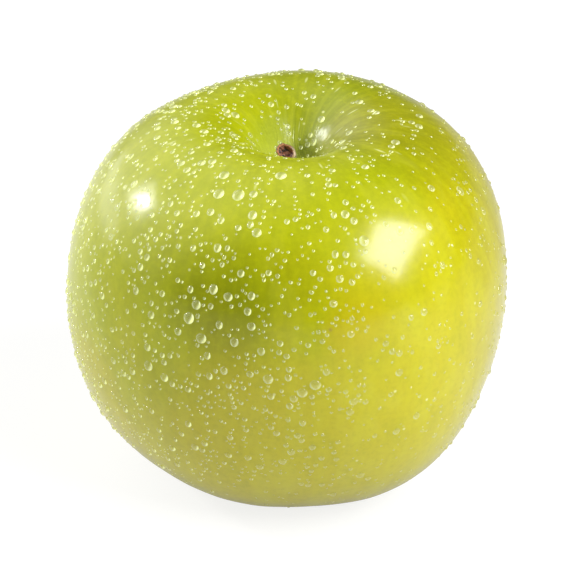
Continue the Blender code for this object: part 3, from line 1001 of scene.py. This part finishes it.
def make_threads(settings, material):
    """Dried stamens: thin bent threads with small heads, in a tuft inside the sepals."""
    chance = random.Random(THREAD_SEED)
    rings_of_thread, sides = 9, 6
    shape = bmesh.new()
    for number in range(settings.threads):
        turn = 2.0 * math.pi * (number + chance.uniform(-0.3, 0.3)) / settings.threads
        root = np.array([math.cos(turn), math.sin(turn), 0.0]) * chance.uniform(0.3, 1.1)
        lean = np.array([math.cos(turn), math.sin(turn), 0.0]) * chance.uniform(0.0, 0.8)
        bend = np.array([chance.uniform(-0.5, 0.5), chance.uniform(-0.5, 0.5), 0.0])
        reach = chance.uniform(3.0, 4.8)
        start = BASIN[0][1] - FLAT_DEPTH + 0.2
        rings = []
        for i in range(rings_of_thread):
            share = i / (rings_of_thread - 1)
            centre = root + lean * share + bend * share * share + np.array([0.0, 0.0, start - reach * share])
            head = 1.0 + 1.4 * math.exp(-(((share - 0.93) / 0.07) ** 2))
            radius = 0.075 * head * (1.0 if share < 1.0 else 0.4)
            circle = [np.array([math.cos(t), math.sin(t), 0.0]) for t in turns_of(sides)]
            rings.append([centre + radius * outward for outward in circle])
        thread = mesh_of_rings("thread", [np.array(ring) * MM + AXIS for ring in rings])
        shape.from_mesh(thread)
        bpy.data.meshes.remove(thread)
    mesh = bpy.data.meshes.new("stamen_threads")
    shape.to_mesh(mesh)
    shape.free()
    return make_object("stamen_threads", mesh, material)


def aim(obj, place, target):
    """Stands a lamp or camera at a place and turns it towards the target."""
    obj.location = place
    obj.rotation_euler = (Vector(target) - Vector(place)).to_track_quat("-Z", "Y").to_euler()
    bpy.context.scene.collection.objects.link(obj)


def way_to(azimuth, elevation):
    """The direction at this azimuth, measured from -Y towards +X, and this elevation."""
    azimuth, elevation = math.radians(azimuth), math.radians(elevation)
    level = math.cos(elevation)
    return Vector((math.sin(azimuth) * level, -math.cos(azimuth) * level, math.sin(elevation)))


def add_softbox(name, azimuth, elevation, distance, width, height, brightness, roll=0.0):
    """A rectangular lamp of even brightness that faces the fruit's shoulder."""
    lamp = bpy.data.lights.new(name, "AREA")
    lamp.shape = "RECTANGLE"
    lamp.size, lamp.size_y = width, height
    lamp.energy = brightness * math.pi * width * height
    obj = bpy.data.objects.new(name, lamp)
    target = Vector(AXIS) + Vector((0.0, 0.0, 0.8 * HEIGHT * MM))
    aim(obj, target + way_to(azimuth, elevation) * distance, target)
    obj.rotation_euler.rotate_axis("Z", math.radians(roll))
    obj.visible_camera = False
    return obj


def set_stage(settings):
    """The white table, the dim room, the lamps and the camera."""
    shape = bmesh.new()
    bmesh.ops.create_circle(shape, cap_ends=True, segments=96, radius=4.0)
    mesh = bpy.data.meshes.new("white_table")
    shape.to_mesh(mesh)
    shape.free()
    table = make_object("white_table", mesh, table_material(settings))

    add_softbox("softbox_right", *SOFTBOX_WAY, *SOFTBOX_SIZE, settings.softbox, SOFTBOX_ROLL)
    glint = add_softbox("softbox_glint", *SOFTBOX_WAY, *SOFTBOX_SIZE, GLINT_BRIGHTNESS, SOFTBOX_ROLL)
    glint.visible_diffuse = False  # it brightens the gloss alone
    add_softbox("side_lamp_left", *SIDE_LAMP_WAY, *SIDE_LAMP_SIZE, settings.side_lamp)
    add_softbox("side_lamp_halo", *SIDE_LAMP_WAY, *HALO_SIZE, HALO_BRIGHTNESS)
    add_softbox("white_card_left", *CARD_WAY, *CARD_SIZE, CARD_BRIGHTNESS)

    # The camera sees an even pale room. The rest is lit by a dim one with a lit wall and a faint ceiling.
    world = bpy.data.worlds.new("dim_room")
    world.use_nodes = True
    r = Recipe(world.node_tree)
    world.node_tree.nodes.clear()
    seen = r.add("ShaderNodeLightPath").outputs["Is Camera Ray"]
    looked = r.add("ShaderNodeTexCoord").outputs["Generated"]
    glow = settings.room
    for towards, edge, strength in (
        (way_to(*LIT_WALL_WAY), 0.45, settings.wall),
        (Vector((0.0, 0.0, 1.0)), 0.6, CEILING_BRIGHTNESS),
    ):
        near = r.along(looked, towards)
        glow = r.maths("ADD", r.spread(near, edge, 1.0, 0.0, strength), glow)
    brightness = r.maths("MULTIPLY_ADD", seen, r.maths("SUBTRACT", SEEN_ROOM_BRIGHTNESS, glow), glow)
    room = r.add("ShaderNodeBackground", {"Color": (1.0, 1.0, 1.0, 1.0), "Strength": brightness})
    r.add("ShaderNodeOutputWorld", {"Surface": room.outputs[0]})
    bpy.context.scene.world = world
    bpy.context.scene.view_settings.view_transform = "Standard"

    camera = bpy.data.cameras.new("camera")
    camera.lens = CAMERA_LENS
    camera.clip_start = 0.01
    obj = bpy.data.objects.new("camera", camera)
    target = Vector(AXIS) + Vector(CAMERA_AIM) * MM
    aim(obj, target + way_to(0.0, CAMERA_ELEVATION) * CAMERA_DISTANCE, target)
    bpy.context.scene.camera = obj


class OBJECT_OT_apple_fruit(Operator):
    """Grow the fruit and its waxy skin"""

    bl_idname = "object.apple_fruit"
    bl_label = "Fruit"

    def execute(self, context):
        fruit = make_fruit(context.scene.apple_fruit, skin_material(context.scene.apple_skin))
        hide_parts("fruit")
        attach(fruit, "root")
        return {"FINISHED"}


class OBJECT_OT_apple_stem(Operator):
    """Grow the stem and the scar at its end"""

    bl_idname = "object.apple_stem"
    bl_label = "Stem"

    def execute(self, context):
        stem = make_stem(bark_material(context.scene.apple_stem))
        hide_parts("stem")
        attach(stem, "root")
        return {"FINISHED"}


class OBJECT_OT_apple_calyx(Operator):
    """Dry the five sepals and the stamens in the basin"""

    bl_idname = "object.apple_calyx"
    bl_label = "Calyx"

    def execute(self, context):
        husk = husk_material(context.scene.apple_calyx)
        for number in range(1, 6):
            sepal = make_sepal(number, husk)
            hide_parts(f"sepal_{number}")
            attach(sepal, "root")
        threads = make_threads(context.scene.apple_calyx, husk)
        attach(threads, "root")
        return {"FINISHED"}


class OBJECT_OT_apple_beads(Operator):
    """Wet the skin with water beads of three sizes"""

    bl_idname = "object.apple_beads"
    bl_label = "Water beads"

    def execute(self, context):
        settings, water = context.scene.apple_beads, water_material()
        fruit = bpy.data.objects["fruit_with_skin"]
        pieces = [make_big_beads(water)]
        for number, (kind, per_square_cm) in enumerate(zip(STREWN_BEADS, (settings.middling, settings.fine))):
            name, segments, levels, spacing, smallest, largest = kind
            larger = joined_copy("larger_beads", pieces)
            values = {
                "Beads per square metre": per_square_cm * SQUARE_CM_PER_SQUARE_M,
                "Least spacing": spacing * MM,
                "Smallest": smallest * MM,
                "Largest": largest * MM,
                "Seed": settings.seed + number,
            }
            pieces.append(strew_beads(name, fruit, bead_shape(segments, levels), larger, values, water))
            bpy.data.objects.remove(larger)
        for piece in pieces:
            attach(piece, "root")
        return {"FINISHED"}


class OBJECT_OT_apple_studio(Operator):
    """Set the white table, the lamps and the camera"""

    bl_idname = "object.apple_studio"
    bl_label = "Studio"

    def execute(self, context):
        set_stage(context.scene.apple_studio)
        return {"FINISHED"}


class VIEW3D_PT_apple(Panel):
    """The apple's pieces and their settings"""

    bl_label = "Green apple"
    bl_space_type = "VIEW_3D"
    bl_region_type = "UI"
    bl_category = "Apple"

    def draw(self, context):
        for operator, groups in PIECES:
            box = self.layout.box()
            for group in groups:
                settings = getattr(context.scene, group)
                for name in settings.__annotations__:
                    box.prop(settings, name)
            box.operator(operator.bl_idname)


SETTINGS = {
    "apple_fruit": FruitSettings,
    "apple_skin": SkinSettings,
    "apple_stem": StemSettings,
    "apple_calyx": CalyxSettings,
    "apple_beads": BeadSettings,
    "apple_studio": StudioSettings,
}
PIECES = (
    (OBJECT_OT_apple_fruit, ("apple_fruit", "apple_skin")),
    (OBJECT_OT_apple_stem, ("apple_stem",)),
    (OBJECT_OT_apple_calyx, ("apple_calyx",)),
    (OBJECT_OT_apple_beads, ("apple_beads",)),
    (OBJECT_OT_apple_studio, ("apple_studio",)),
)
OPERATORS = [operator for operator, _ in PIECES]


def register():
    for cls in (*SETTINGS.values(), *OPERATORS, VIEW3D_PT_apple):
        bpy.utils.register_class(cls)
    for name, group in SETTINGS.items():
        setattr(bpy.types.Scene, name, PointerProperty(type=group))


def unregister():
    for name in SETTINGS:
        delattr(bpy.types.Scene, name)
    for cls in reversed((*SETTINGS.values(), *OPERATORS, VIEW3D_PT_apple)):
        bpy.utils.unregister_class(cls)


def main():
    register()
    bpy.ops.object.apple_fruit()
    bpy.ops.object.apple_stem()
    bpy.ops.object.apple_calyx()
    bpy.ops.object.apple_beads()
    bpy.ops.object.apple_studio()


if __name__ == "__main__":
    main()
